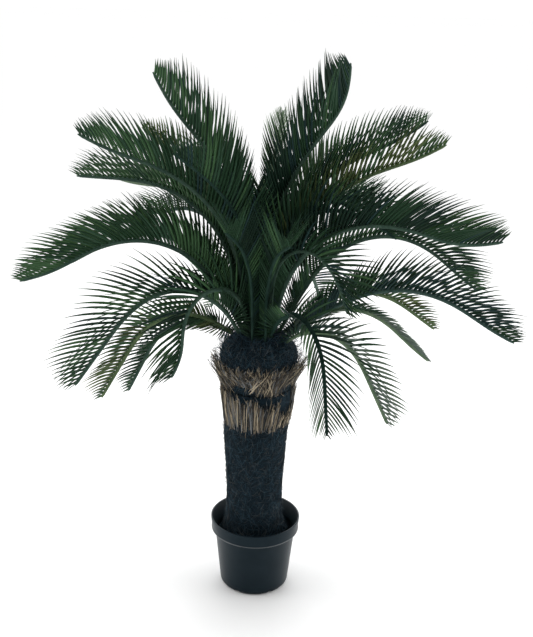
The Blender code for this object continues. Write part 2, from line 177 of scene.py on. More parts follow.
# As in the source, in degrees: fronds turned about their ribs, leaflets lifted or swept otherwise
ROLL = {"low_right_5": 21, "low_left_3": 28, "front_right": -12}
LIFTS = {"low_right_5": 50, "low_left_1": 48}
SWEEPS = {"low_right_3": 26}

# How far apart some fronds' leaflets stand, as a share of the pitch
APART = {
    "low_right_1": 1.10, "low_right_2": 1.15, "low_right_3": 1.15, "low_right_4": 1.25,
    "low_right_5": 1.12, "low_left_1": 1.20, "low_left_3": 1.20, "low_left_4": 1.20,
    "low_left_2": 1.15, "right_2": 1.20, "left_2": 1.06, "upper_right": 0.82, "right_3": 0.86,
    "right_4": 1.10, "left_6": 0.90, "back_top": 0.84,
}
# How far some fronds' leaflets shift towards the light end of their tint: partly their own paler
# tint, partly painted light for the glow of backlit leaflets
PALER_TINT_AND_GLOW = {
    "left_2": 0.44, "left_6": 0.54, "left_5": 0.36, "left_1": 0.14, "upper_left": 0.10,
    "right_2": 0.20, "right_4": 0.20, "right_1": 0.22, "low_left_1": 0.16, "low_left_3": 0.10,
    "low_left_4": 0.26, "low_right_1": 0.16, "low_right_3": 0.25, "low_right_4": 0.25,
    "low_right_5": 0.08, "left_3": 0.40, "back_top": 0.20, "upper_right": -0.34, "right_3": -0.04,
}
# Fronds with a grey bloom, and fronds whose rib is painted as dark as their leaflets, as shade
# where it runs among the crown's leaflets
DUSTY = ("low_right_3", "low_right_4")
RIBS_IN_PAINTED_SHADE = (
    "front_left", "right_1", "right_5", "front_1", "front_2", "low_right_5", "back_left",
    "back_right", "rear_1", "rear_2", "rear_3",
)
# How much of the length the leaflets at some fronds' ends lack
CUT_BACK = {"low_right_5": 0.45}
# The side of these fronds' ribs where the first leaflets hang down over the crown's fibre
HANGING = {"low_left_2": -1, "low_left_4": -1, "low_right_2": 1, "low_right_3": 1}
# Leaflets are cut short near this gap in the crown's middle: height, left and right edge, in m
PARTING = (
    (0.904, -0.010, -0.009), (0.935, -0.017, -0.008), (0.965, -0.023, -0.006),
    (1.004, -0.035, -0.004), (1.043, -0.053, -0.001), (1.072, -0.065, 0.004),
    (1.200, -0.120, 0.024),
)

# Base colours, as linear red, green and blue
LEAF_COLOURS = {
    "deep": (0.006, 0.022, 0.011),
    "green": (0.012, 0.040, 0.015),
    "soft": (0.024, 0.064, 0.029),
    "fresh": (0.040, 0.098, 0.034),
    "olive": (0.042, 0.064, 0.017),
    "yellow": (0.090, 0.130, 0.040),
    "blue": (0.011, 0.033, 0.026),
    "pale": (0.120, 0.190, 0.100),
    "dusty": (0.125, 0.175, 0.122),
}
# Colours of each tint's leaflets, dark to light, and their shares
TINTS = {
    "green": (("deep", 0.24), ("blue", 0.10), ("green", 0.36), ("soft", 0.22), ("fresh", 0.08)),
    "blue": (("deep", 0.20), ("blue", 0.56), ("green", 0.24)),
    "yellow": (
        ("green", 0.22), ("soft", 0.22), ("fresh", 0.26), ("olive", 0.18), ("yellow", 0.12),
    ),
    "pale": (("fresh", 0.22), ("pale", 0.78)),
    "dusty": (("green", 0.16), ("soft", 0.34), ("dusty", 0.50)),
}
# An underside's colour against the upper face's, and the cool tone of highlights
UNDERSIDE = (1.05, 1.00, 1.20)
COOL = (0.60, 0.86, 1.0)
# Colours and their shares
COIR_COLOURS = (
    ((0.0045, 0.0140, 0.0220), 0.42),
    ((0.0120, 0.0290, 0.0430), 0.26),
    ((0.0300, 0.0680, 0.0940), 0.20),
    ((0.0640, 0.0760, 0.0800), 0.12),
)
STRAW_COLOURS = (
    ((0.018, 0.020, 0.021), 0.22),
    ((0.050, 0.043, 0.034), 0.24),
    ((0.120, 0.100, 0.070), 0.20),
    ((0.400, 0.335, 0.235), 0.20),
    ((0.170, 0.178, 0.180), 0.14),
)
# Painted shade and light: the fill's coir is a darker copy of the trunk's, as shade in the pot, and
# the crown's a lighter copy, painted light where the fronds shade it
FILL_PAINTED_SHADE = 0.66
CROWN_PAINTED_LIGHT = 1.35
RIB_COLOURS = {
    "green": ((0.026, 0.054, 0.036), (0.052, 0.092, 0.062)),
    # dark: painted shade, for ribs that run among the leaflets in the crown's middle
    "dark": ((0.010, 0.026, 0.019), (0.020, 0.044, 0.033)),
    "blue": ((0.024, 0.050, 0.040), (0.048, 0.084, 0.066)),
    "yellow": ((0.060, 0.095, 0.038), (0.110, 0.155, 0.065)),
    "pale": ((0.090, 0.140, 0.080), (0.150, 0.210, 0.125)),
}

# Camera: a pinhole set up for the photograph's frame of 533 by 637 pixels, angles in degrees
CAMERA_PLACE = (0.0, -1.9, 1.26)
CAMERA_PITCH = 18.32
CAMERA_YAW = 0.42
CAMERA_ROLL = 1.5
FRAME_HEIGHT = 637
FOCAL_PIXELS = 946
SENSOR = 36.0

# Light: the world is dark towards one side, and four boxes each have a place, a size and a power
DARK_SIDE = (0.0, -0.80, 0.60)
WORLD_BRIGHT = 1.75
WORLD_DARK = 0.20
WORLD_FADE = (0.15, 0.85)
LIT_POINT = (0.0, 0.0, 0.6)
BOXES = {
    "left_box": ((-2.4, -0.4, 1.5), 1.5, 16),
    "right_box": ((2.4, -0.3, 1.3), 1.5, 14),
    "back_box": ((0.2, 2.4, 2.4), 2.0, 20),
    "top_box": ((0.0, 0.0, 3.4), 2.0, 24),
}
FLOOR_SIZE = 400.0
FLOOR_DROP = 0.0002


def ease(t):
    t = np.clip(t, 0.0, 1.0)
    return t * t * (3 - 2 * t)


def unit(vectors):
    return vectors / np.maximum(np.linalg.norm(vectors, axis=-1, keepdims=True), 1e-12)


def bumps(points, scale, seed):
    """Smooth noise from -1 to 1 at each point; scale is the size of one bump in metres."""
    shift = 17.3 * seed
    flat = (points / scale).reshape(-1, 3)
    found = [noise.noise(Vector((x + shift, y, z))) for x, y, z in flat.tolist()]
    return np.array(found).reshape(points.shape[:-1])


# ---- materials


def new_material(name):
    mat = bpy.data.materials.new(name)
    mat.use_nodes = True
    return mat, mat.node_tree.nodes, mat.node_tree.links


def set_inputs(node, values):
    for name, value in values.items():
        node.inputs[name].default_value = value
    return node


def plain(name, colour, roughness=0.5, specular=0.5):
    mat, nodes, _ = new_material(name)
    look = {"Base Color": (*colour, 1.0), "Roughness": roughness, "Specular IOR Level": specular}
    set_inputs(nodes["Principled BSDF"], look)
    return mat


def mottled(name, dark, light, patch, grain, bump, rough, specular=0.5):
    """Two colours mixed by soft patches, with fine grain in the bump and the roughness.
    patch and grain are sizes in metres, bump a height in metres, rough a low and a high value."""
    mat, nodes, links = new_material(name)
    shader = nodes["Principled BSDF"]
    set_inputs(shader, {"Specular IOR Level": specular, "Specular Tint": (*COOL, 1.0)})
    coords = nodes.new("ShaderNodeTexCoord")
    wide = set_inputs(nodes.new("ShaderNodeTexNoise"), {"Scale": 1 / patch, "Detail": 4.0})
    fine = set_inputs(nodes.new("ShaderNodeTexNoise"), {"Scale": 1 / grain, "Detail": 3.0})
    for tex in (wide, fine):
        links.new(coords.outputs["Object"], tex.inputs["Vector"])
    ramp = nodes.new("ShaderNodeValToRGB")
    for stop, place, colour in zip(ramp.color_ramp.elements, (0.34, 0.68), (dark, light)):
        stop.position = place
        stop.color = (*colour, 1.0)
    links.new(wide.outputs["Fac"], ramp.inputs["Fac"])
    links.new(ramp.outputs["Color"], shader.inputs["Base Color"])
    spread = set_inputs(nodes.new("ShaderNodeMapRange"), {"To Min": rough[0], "To Max": rough[1]})
    links.new(fine.outputs["Fac"], spread.inputs["Value"])
    links.new(spread.outputs["Result"], shader.inputs["Roughness"])
    relief = set_inputs(nodes.new("ShaderNodeBump"), {"Strength": 1.0, "Distance": bump})
    links.new(fine.outputs["Fac"], relief.inputs["Height"])
    links.new(relief.outputs["Normal"], shader.inputs["Normal"])
    return mat


def leaf_materials():
    """Upper and lower face of every leaf tint."""
    made = {}
    for name, colour in LEAF_COLOURS.items():
        under = tuple(c * f for c, f in zip(colour, UNDERSIDE))
        made[name] = (
            plain(f"leaf_{name}", colour, roughness=0.50, specular=0.17),
            plain(f"leaf_{name}_under", under, roughness=0.65, specular=0.12),
        )
    return made


def shares_of(table):
    """Colours and their running shares, for dealing them out."""
    weights = np.array([weight for _, weight in table])
    return [key for key, _ in table], np.cumsum(weights) / weights.sum()


# ---- mesh helpers


def mesh_object(name, verts, faces, mats, slots=None):
    mesh = bpy.data.meshes.new(name)
    mesh.from_pydata(verts.reshape(-1, 3).tolist(), [], faces)
    mesh.update()
    obj = bpy.data.objects.new(name, mesh)
    bpy.context.scene.collection.objects.link(obj)
    for mat in mats:
        mesh.materials.append(mat)
    if slots is not None:
        mesh.polygons.foreach_set("material_index", np.asarray(slots, np.int32))
    mesh.polygons.foreach_set("use_smooth", np.ones(len(faces), bool))
    return obj


def swept(paths, across, upward, halves, section):
    """Closed strands: each path carries the same section, scaled by its half widths.
    paths, across and upward are (strands, points, 3), and across x upward runs along the path.
    Returns the points and the faces, and for each face its strand and its side (-1 on caps)."""
    count, steps, _ = paths.shape
    sides = len(section)
    shape = np.array(section)
    verts = (
        paths[:, :, None, :]
        + across[:, :, None, :] * (halves[:, :, None, None] * shape[:, 0][:, None])
        + upward[:, :, None, :] * (halves[:, :, None, None] * shape[:, 1][:, None])
    )
    first = (np.arange(count) * steps * sides)[:, None, None]
    ring = (np.arange(steps - 1) * sides)[None, :, None]
    side = np.arange(sides)[None, None, :]
    after = (side + 1) % sides
    low = first + ring
    high = low + sides
    quads = np.stack([low + side, low + after, high + after, high + side], axis=-1)
    strand = np.broadcast_to(np.arange(count)[:, None, None], quads.shape[:-1])
    which = np.broadcast_to(side, quads.shape[:-1])
    flat = np.arange(sides)
    start = first[:, 0] + flat[::-1]
    end = first[:, 0] + (steps - 1) * sides + flat
    faces = quads.reshape(-1, 4).tolist() + start.tolist() + end.tolist()
    caps = np.arange(count)
    owners = np.concatenate([strand.ravel(), caps, caps])
    sides_of = np.concatenate([which.ravel(), -np.ones(2 * count, int)])
    return verts, faces, owners, sides_of


def frames_along(paths, hint):
    """Across and upward for swept(): upward stays as near to hint as the path lets it."""
    ways = unit(np.gradient(paths, axis=1))
    across = unit(np.cross(hint, ways))
    return across, np.cross(ways, across)


def turned_frames(across, upward, angles):
    """The same frames turned about their paths by one angle a strand."""
    cos = np.cos(angles)[:, None, None]
    sin = np.sin(angles)[:, None, None]
    return across * cos + upward * sin, upward * cos - across * sin


def ring_section(sides, flat=1.0):
    """Section of a round strand; flat squeezes its height."""
    angles = 2 * np.pi * np.arange(sides) / sides
    return [(math.cos(a), flat * math.sin(a)) for a in angles]


def strands(name, paths, hint, halves, section, colours, mats, rng, twist=0.0):
    """One piece of many closed strands, with their colours dealt out by strand."""
    across, upward = frames_along(paths, hint)
    if twist:
        angles = rng.uniform(-twist, twist, len(paths))
        across, upward = turned_frames(across, upward, angles)
    verts, faces, owners, _ = swept(paths, across, upward, halves, section)
    _, running = shares_of(colours)
    picks = np.searchsorted(running, rng.uniform(0, 1, len(paths)))
    return mesh_object(name, verts, faces, mats, np.minimum(picks, len(mats) - 1)[owners])


# ---- pot and fill


def body_radius(height):
    share = (height - FOOT_ROUND) / (POT_HEIGHT - BAND_HEIGHT - FOOT_ROUND)
    return BODY_FOOT_RADIUS + (BODY_TOP_RADIUS - BODY_FOOT_RADIUS) * share


def rounded(corner_a, corner, corner_b, radius, steps=4):
    """Points that round off one corner of a profile."""
    a, c, b = (np.array(p, float) for p in (corner_a, corner, corner_b))
    start = c + unit(a - c) * radius
    end = c + unit(b - c) * radius
    t = np.linspace(0, 1, steps + 1)[:, None]
    return [tuple(p) for p in (1 - t) ** 2 * start + 2 * t * (1 - t) * c + t**2 * end]


def pot_profile():
    """From the middle of the floor inside, over the rim and down the outside."""
    band_foot = POT_HEIGHT - BAND_HEIGHT
    inner_foot = body_radius(POT_FLOOR + FLOOR_ROUND) - POT_WALL
    rim_in = RIM_RADIUS - POT_WALL
    corners = [
        (0.0, POT_FLOOR),
        (inner_foot, POT_FLOOR),
        (body_radius(band_foot) - POT_WALL, band_foot),
        (rim_in, POT_HEIGHT),
        (RIM_RADIUS, POT_HEIGHT),
        (BAND_FOOT_RADIUS + 0.0002, band_foot + 0.0028),
        (BAND_FOOT_RADIUS + 0.0011, band_foot + 0.0018),
        (BAND_FOOT_RADIUS + 0.0009, band_foot),
        (body_radius(band_foot), band_foot),
        (BODY_FOOT_RADIUS, FOOT_ROUND),
    ]
    radii = (FLOOR_ROUND, 0.004, 0.0012, 0.0014, 0.0008, 0.0004, 0.0005, 0.0007)
    profile = [corners[0]]
    for before, corner, after, radius in zip(corners, corners[1:], corners[2:], radii):
        profile += rounded(before, corner, after, radius)
    profile.append(corners[-1])
    for k in range(1, ROUND_STEPS + 1):
        a = math.radians(90 * k / ROUND_STEPS)
        radius = FOOT_RADIUS + (BODY_FOOT_RADIUS - FOOT_RADIUS) * math.cos(a)
        profile.append((radius, FOOT_ROUND * (1 - math.sin(a))))
    profile.append((0.0, 0.0))
    return profile


def notch_cutter(turn):
    """A soft-edged block that cuts one drain notch through the wall's foot."""
    bpy.ops.mesh.primitive_cube_add(size=1.0)
    cutter = bpy.context.object
    cutter.scale = (NOTCH_DEPTH, NOTCH_WIDTH, 2 * NOTCH_HEIGHT)
    cutter.rotation_euler = (0.0, 0.0, turn)
    cutter.location = (NOTCH_RADIUS * math.cos(turn), NOTCH_RADIUS * math.sin(turn), 0.0)
    bevel = cutter.modifiers.new("soft", "BEVEL")
    bevel.width = NOTCH_BEVEL
    bevel.segments = 2
    return cutter


def pot_materials():
    """The plastic, the ledge under the rim band painted paler as a highlight, and the inside."""
    plastic = mottled(
        "pot_plastic", (0.0038, 0.0085, 0.0125), (0.0062, 0.0120, 0.0165),
        patch=0.045, grain=0.0012, bump=0.00006, rough=(0.30, 0.42), specular=0.16,
    )
    # Painted highlight: a paler colour for the ledge under the rim band, where a light line runs.
    edge = plain("pot_ledge_painted_highlight", (0.050, 0.060, 0.066), roughness=0.36)
    # Painted light: the inside is the same plastic as the outside, given a paler colour.
    inside = plain("pot_inside_painted_light", (0.0105, 0.0230, 0.0310), roughness=0.45)
    return plastic, edge, inside


def make_pot():
    """The turned shell with its notches cut out."""
    profile = pot_profile()
    mesh = bpy.data.meshes.new("pot_shell")
    edges = [(i, i + 1) for i in range(len(profile) - 1)]
    mesh.from_pydata([(r, 0.0, z) for r, z in profile], edges, [])
    pot = bpy.data.objects.new("pot_shell", mesh)
    bpy.context.scene.collection.objects.link(pot)
    screw = pot.modifiers.new("turn", "SCREW")
    screw.steps = screw.render_steps = POT_AROUND
    screw.use_merge_vertices = True
    screw.merge_threshold = 0.00002
    cutters = []
    for k in range(NOTCH_COUNT):
        cutter = notch_cutter(math.radians(360 * k / NOTCH_COUNT))
        cut = pot.modifiers.new(f"notch_{k + 1}", "BOOLEAN")
        cut.operation = "DIFFERENCE"
        cut.solver = "EXACT"
        cut.object = cutter
        cutters.append(cutter)
    graph = bpy.context.evaluated_depsgraph_get()
    made = bpy.data.meshes.new_from_object(pot.evaluated_get(graph))
    pot.modifiers.clear()
    pot.data = made
    made.name = "pot_shell"
    for cutter in cutters:
        bpy.data.objects.remove(cutter)
    made.materials.clear()
    for mat in pot_materials():
        made.materials.append(mat)
    band_foot = POT_HEIGHT - BAND_HEIGHT
    for face in made.polygons:
        centre = face.center
        radius = math.hypot(centre.x, centre.y)
        outside = radius > BAND_FOOT_RADIUS + 0.0003
        # Painted highlight: faces of the ledge under the rim band take the paler material.
        ledge_highlight = outside and band_foot < centre.z < band_foot + 0.0024
        # Painted light: inward faces above the fill take the paler inside material.
        inward = centre.x * face.normal.x + centre.y * face.normal.y < -0.5 * radius
        face.material_index = 1 if ledge_highlight else 2 if inward and centre.z > FILL_TOP else 0
        face.use_smooth = True
    made.set_sharp_from_angle(angle=math.radians(38))
    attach(pot, "root")
    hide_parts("pot")


def surface_grid(rows, around, closed_loop):
    """Faces of stacked rings: capped at both ends, or joined from the last ring to the first."""
    faces = []
    count = len(rows)
    last = count if closed_loop else count - 1
    for k in range(last):
        a = k * around
        b = ((k + 1) % count) * around
        for i in range(around):
            j = (i + 1) % around
            faces.append((a + i, a + j, b + j, b + i))
    if not closed_loop:
        faces.append(tuple(reversed(range(around))))
        faces.append(tuple(range((count - 1) * around, count * around)))
    return faces


def rings(radii, heights, angles, shifts):
    """Points of stacked rings. radii is (rings, 1) or (rings, points)."""
    x = radii * np.cos(angles) + shifts[:, None]
    z = np.broadcast_to(heights[:, None], x.shape)
    return np.stack([x, radii * np.sin(angles), z], axis=-1)


def relief(name, profile, amount, seed, mat, inner=None):
    """A turned surface with lumps. With inner, the surface is a ring closed on its inside at
    that radius; without, it is closed by flat ends."""
    radii, heights = (np.array(v) for v in zip(*profile))
    rises = np.hypot(np.diff(radii), np.diff(heights))
    along = np.concatenate([[0], np.cumsum(rises)])
    places = np.linspace(0, along[-1], max(4, int(along[-1] / RELIEF_STEP)))
    r = np.interp(places, along, radii)
    z = np.interp(places, along, heights)
    angles = 2 * np.pi * np.arange(RELIEF_AROUND) / RELIEF_AROUND
    shift = lean_at(z)
    base = rings(r[:, None], z, angles, shift)
    lumps = 0.55 * bumps(base, 0.024, seed) + 0.30 * bumps(base, 0.009, seed + 1)
    lumps += 0.28 * bumps(base, 0.0035, seed + 2)
    base = rings(r[:, None] + amount * lumps, z, angles, shift)
    if inner is not None:
        ends = [-1, 0]
        inside = rings(np.full((2, 1), inner), z[ends], angles, shift[ends])
        base = np.concatenate([base, inside])
    faces = surface_grid(base, RELIEF_AROUND, inner is not None)
    obj = mesh_object(name, base, faces, [mat])
    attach(obj, "root")
    return obj


def lean_at(height):
    """Sideways place of the trunk's axis."""
    heights, shifts = zip(*TRUNK_SHIFTS)
    return np.interp(height, heights, shifts)


def radius_on(profile):
    """A function that gives the profile's radius at any height."""
    radii, heights = zip(*profile)
    return lambda height: np.interp(height, heights, radii)


def make_fill(mats):
    """Dark moss in the pot."""
    foot = body_radius(POT_FLOOR + FLOOR_ROUND) - POT_WALL - 0.001
    top = body_radius(FILL_TOP) - POT_WALL - 0.0006
    inward, around = 26, 120
    angles = 2 * np.pi * np.arange(around) / around
    rows = [(foot, POT_FLOOR + 0.001), (top, FILL_TOP - 0.006)]
    rows += [(r, FILL_TOP - 0.0025) for r in np.linspace(top, 0.004, inward)]
    r = np.array([row[0] for row in rows])
    z = np.array([row[1] for row in rows])
    base = rings(r[:, None], z, angles, np.zeros(len(r)))
    lumps = 0.6 * bumps(base, 0.012, 31) + 0.4 * bumps(base, 0.005, 32)
    soft = np.where(np.arange(len(r)) > 1, 1.0, 0.0)[:, None]
    base[..., 2] += FILL_LUMPS * lumps * soft
    moss = mottled(
        "fill_moss", (0.0016, 0.0055, 0.0085), (0.0050, 0.0120, 0.0175),
        patch=0.006, grain=0.0015, bump=0.0006, rough=(0.85, 1.0), specular=0.2,
    )
    fill = mesh_object("fill_surface", base, surface_grid(base, around, False), [moss])
    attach(fill, "root")
    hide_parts("pot_fill")
    fill_fibres(mats, top)


def fill_fibres(mats, top):
    """Loose fibres that lie on the moss."""
    rng = np.random.default_rng(41)
    count, steps = 900, 5
    reach = np.sqrt(rng.uniform(0.060**2, (top - 0.006) ** 2, count))
    bearing = rng.uniform(0, 2 * np.pi, count)
    level = np.full(count, FILL_TOP - 0.002)
    start = np.stack([reach * np.cos(bearing), reach * np.sin(bearing), level], -1)
    heading = rng.uniform(0, 2 * np.pi, count)
    bend = rng.uniform(-1.6, 1.6, count)
    length = rng.uniform(0.010, 0.028, count)
    t = np.linspace(0, 1, steps)
    turn = heading[:, None] + bend[:, None] * t
    flow = np.stack([np.cos(turn), np.sin(turn), np.zeros_like(turn)], -1)
    paths = start[:, None] + np.cumsum(flow * (length / steps)[:, None, None], axis=1)
    paths[..., 2] += rng.uniform(0.001, 0.005, count)[:, None] * np.sin(np.pi * t)
    limit = top - 0.003
    far = np.linalg.norm(paths[..., :2], axis=-1)
    paths[..., :2] *= (np.minimum(far, limit) / far)[..., None]
    up = np.zeros_like(paths)
    up[..., 2] = 1.0
    halves = rng.uniform(0.00028, 0.0006, count)[:, None] * np.array([0.6, 1, 1, 0.8, 0.3])
    loose = strands("fill_fibres", paths, up, halves, ring_section(3), COIR_COLOURS, mats, rng)
    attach(loose, "root")
    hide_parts("pot_fill")


# ---- trunk, collars and crown


def surface_paths(rng, count, steps, radius_at, low, high, length, lift, loose, steep):
    """Fibres that run over a turned surface, rising off it and coming back, or standing loose."""
    z = rng.uniform(low, high, count)
    angle = rng.uniform(0, 2 * np.pi, count)
    heading = rng.normal(math.pi / 2, steep, count) + rng.integers(0, 2, count) * math.pi
    bend = rng.uniform(-1.5, 1.5, count)
    lengths = rng.uniform(*length, count)
    lifts = rng.uniform(*lift, count)
    ends = loose(rng, count)
    step = lengths / (steps - 1)
    out = np.empty((count, steps, 3))
    for k in range(steps):
        t = k / (steps - 1)
        r = radius_at(z) - 0.0006 + lifts * math.sin(math.pi * t) + ends * t**2
        shift = lean_at(z)
        out[:, k] = np.stack([r * np.cos(angle) + shift, r * np.sin(angle), z], -1)
        heading = heading + bend / steps
        angle = angle + np.cos(heading) * step / r
        z = np.clip(z + np.sin(heading) * step, low - 0.003, high + 0.003)
    return out


def outward(paths):
    """Direction away from the trunk's axis at every point of the paths."""
    away = paths.copy()
    away[..., 0] -= lean_at(paths[..., 2])
    away[..., 2] = 0.0
    return unit(away)


def coir(name, node, slot, mats, seed, count, thick, **where):
    """One piece of many coir fibres on a turned surface."""
    rng = np.random.default_rng(seed)
    steps = 6
    paths = surface_paths(rng, count, steps, **where)
    taper = np.array([0.6, 1.0, 1.0, 0.9, 0.7, 0.3])
    halves = rng.uniform(*thick, count)[:, None] * taper
    piece = strands(name, paths, outward(paths), halves, ring_section(3), COIR_COLOURS, mats, rng)
    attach(piece, "root")
    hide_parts(node)


def lying(rng, count):
    """How far the end of a fibre that lies on the surface stands off it."""
    return rng.uniform(-0.0005, 0.0012, count)


def standing(rng, count):
    """The same for a loose fibre."""
    return rng.uniform(0.002, 0.011, count)


def make_trunk(mats, core_mat):
    trunk = relief("trunk_relief", TRUNK_PROFILE, TRUNK_LUMPS, 3, core_mat)
    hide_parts("trunk")
    shared = dict(radius_at=radius_on(TRUNK_PROFILE), low=FILL_TOP, high=0.412)
    coir(
        "trunk_coir", "trunk", "trunk_fibre", mats, 51, 5200, (0.00032, 0.00068),
        length=(0.014, 0.042), lift=(0.0008, 0.0036), loose=lying, steep=0.9, **shared,
    )
    coir(
        "trunk_loose_coir", "trunk", "trunk_fibre", mats, 52, 1300, (0.00020, 0.00042),
        length=(0.010, 0.030), lift=(0.0010, 0.0030), loose=standing, steep=1.2, **shared,
    )


def strips(name, node, mats, seed, count, low, high, radii, lean, fan, widths, flare):
    """Cut leaf bases: flat reeds that stand in layers round the neck and lean outwards. lean is
    the spread of their sideways lean, fan how far they all lean away from the front, and flare
    how far one at either side may stand out. It gives back their paths."""
    rng = np.random.default_rng(seed)
    steps = 6
    bearing = rng.uniform(0, 2 * np.pi, count)
    layer = rng.uniform(0, 1, count)
    foot = low(rng, bearing, count, layer)
    head = high(rng, bearing, count, layer)
    start = radii[0] + 0.0030 * layer
    end = radii[1] + 0.0040 * layer + rng.uniform(-0.004, 0.002, count)
    end = end + rng.uniform(0, flare, count) * np.abs(np.cos(bearing)) ** 6
    share = np.linspace(0, 1, steps)[None, :]
    z = foot[:, None] + (head - foot)[:, None] * share
    r = start[:, None] + (end - start)[:, None] * share**1.25
    r += rng.uniform(-0.0012, 0.0018, count)[:, None] * np.sin(np.pi * share)
    aside = rng.normal(0, lean, count) + fan * np.sin(bearing - FAN_MIDDLE)
    angle = bearing[:, None] + aside[:, None] * (share - 0.4)
    angle += rng.normal(0, 0.010, (count, steps)) * share
    shift = lean_at(z)
    paths = np.stack([r * np.cos(angle) + shift, r * np.sin(angle), z], -1)
    halves = 0.5 * rng.uniform(*widths, count)[:, None] * np.array([0.75, 1, 1, 0.95, 0.85, 0.6])
    piece = strands(
        name, paths, outward(paths), halves, ring_section(6, 0.42), STRAW_COLOURS, mats, rng, 0.5
    )
    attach(piece, "root")
    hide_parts(node)
    return paths


def edge_at(bearing, table):
    """How far a collar's edge draws back at each bearing."""
    degrees = np.degrees(bearing) % 360
    depth = np.zeros_like(bearing)
    for middle, half, most in table:
        depth = np.maximum(depth, most * (1 - ease((abs(degrees - middle) - 0.5 * half) / half)))
    return depth


def lower_foot(rng, bearing, count, layer):
    return rng.uniform(0.396, 0.412, count) - 0.002 * layer


def lower_head(rng, bearing, count, layer):
    return COLLAR_SEAM - edge_at(bearing, LOWER_DIPS) + rng.normal(0, 0.004, count) - 0.010 * layer


def upper_foot(rng, bearing, count, layer):
    return COLLAR_SEAM + edge_at(bearing, UPPER_LIFTS) + rng.normal(0, 0.003, count) - 0.004 * layer


def upper_head(rng, bearing, count, layer):
    rise = 0.005 * np.abs(np.cos(bearing)) ** 6 - 0.004 * np.sin(bearing)
    return 0.541 + rise + rng.normal(0, 0.006, count) - 0.016 * layer


def make_collars(mats, coir_mats, core_mat):
    for name, core, seed in (("lower", LOWER_CORE, 11), ("upper", UPPER_CORE, 15)):
        band = relief(f"collar_{name}_core", core, COLLAR_LUMPS, seed, core_mat, NECK_RADIUS)
        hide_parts(f"collar_{name}")
    lower = dict(low=lower_foot, high=lower_head, fan=0.05, flare=LOWER_FLARE)
    upper = dict(low=upper_foot, high=upper_head, fan=0.19, flare=UPPER_FLARE)
    low = strips(
        "collar_lower_strips", "collar_lower", mats, 61, 300,
        radii=(0.0690, 0.0770), lean=0.09, widths=(0.0018, 0.0044), **lower,
    )
    top = strips(
        "collar_upper_strips", "collar_upper", mats, 62, 460,
        radii=(0.0735, 0.0865), lean=0.20, widths=(0.0014, 0.0036), **upper,
    )
    strips(
        "collar_lower_reeds", "collar_lower", mats, 65, 260,
        radii=(0.0708, 0.0786), lean=0.10, widths=(0.0007, 0.0016), **lower,
    )
    strips(
        "collar_upper_reeds", "collar_upper", mats, 66, 360,
        radii=(0.0758, 0.0885), lean=0.24, widths=(0.0006, 0.0016), **upper,
    )
    frayed(low, top, mats)
    core_radius = radius_on(LOWER_CORE + UPPER_CORE)
    for name, low_z, high_z, seed in (("lower", 0.402, 0.486, 63), ("upper", 0.480, 0.532, 64)):
        coir(
            f"collar_{name}_coir", f"collar_{name}", "trunk_fibre", coir_mats, seed, 700,
            (0.00025, 0.0005), radius_at=core_radius, low=low_z, high=high_z,
            length=(0.012, 0.034), lift=(0.001, 0.004), loose=lying, steep=0.8,
        )


def curled(start, way, pull, length, steps):
    """Paths that set out along way and bend towards pull."""
    t = np.linspace(0, 1, steps)
    flow = unit(way[:, None] + pull[:, None] * t[None, :, None])
    return start[:, None] + np.cumsum(flow * (length / steps)[:, None, None], axis=1)


def frayed(low, top, mats):
    """Thin split ends that stand off the heads and feet of the strips."""
    rng = np.random.default_rng(65)
    steps = 5
    starts, ways = [], []
    for paths, heads, feet in ((low, 170, 90), (top, 420, 120)):
        for place, back, count, sign in ((-1, -2, heads, 1), (0, 1, feet, 1)):
            pick = rng.integers(0, len(paths), count)
            starts.append(paths[pick, place])
            ways.append(sign * unit(paths[pick, place] - paths[pick, back]))
    start = np.concatenate(starts)
    way = np.concatenate(ways)
    count = len(start)
    way = unit(way + rng.normal(0, 0.38, (count, 3)) + 0.25 * outward(start[:, None])[:, 0])
    pull = rng.normal(0, 0.5, (count, 3))
    length = rng.uniform(0.006, 0.018, count)
    paths = curled(start - way * 0.003, way, pull, length, steps)
    halves = rng.uniform(0.0003, 0.0007, count)[:, None] * np.array([1, 1, 0.9, 0.7, 0.3])
    piece = strands(
        "collar_frayed", paths, outward(paths), halves, ring_section(3), STRAW_COLOURS, mats, rng
    )
    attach(piece, "root")
    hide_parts("collar_lower", "collar_upper")


def make_crown(mats, core_mat):
    crown_radius = radius_on(CROWN_PROFILE)
    crown = relief("crown_relief", CROWN_PROFILE, CROWN_LUMPS, 21, core_mat)
    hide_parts("crown_fibre")
    coir(
        "crown_coir_painted_light", "crown_fibre", "trunk_fibre", mats, 71, 2400, (0.0003, 0.0006),
        radius_at=crown_radius, low=0.534, high=0.599,
        length=(0.014, 0.040), lift=(0.0015, 0.0060), loose=lying, steep=0.9,
    )
    hair(mats, crown_radius)


def hair(mats, crown_radius):
    """Loose fibres that stand up and out between the feet of the fronds."""
    rng = np.random.default_rng(72)
    count, steps = 1500, 6
    z = rng.uniform(0.536, 0.599, count)
    bearing = rng.uniform(0, 2 * np.pi, count)
    r = crown_radius(z) * np.where(z > 0.597, np.sqrt(rng.uniform(0, 1, count)), 1.0)
    start = np.stack([r * np.cos(bearing), r * np.sin(bearing), z], -1)
    out = np.stack([np.cos(bearing), np.sin(bearing), np.zeros(count)], -1)
    up = rng.uniform(0.1, 1.3, count)[:, None] * np.array([0.0, 0.0, 1.0])
    way = unit(0.7 * out + up + rng.normal(0, 0.35, (count, 3)))
    pull = rng.normal(0, 0.6, (count, 3)) + [0.0, 0.0, -0.25]
    length = rng.gamma(2.4, 0.0075, count).clip(0.008, 0.048)
    paths = curled(start, way, pull, length, steps)
    hint = np.broadcast_to([0.3, 0.2, 1.0], paths.shape)
    halves = rng.uniform(0.0002, 0.00045, count)[:, None] * np.array([1, 1, 0.9, 0.8, 0.6, 0.3])
    piece = strands("crown_hair", paths, hint, halves, ring_section(3), COIR_COLOURS, mats, rng)
    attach(piece, "root")
    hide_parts("crown_fibre")


# ---- fronds


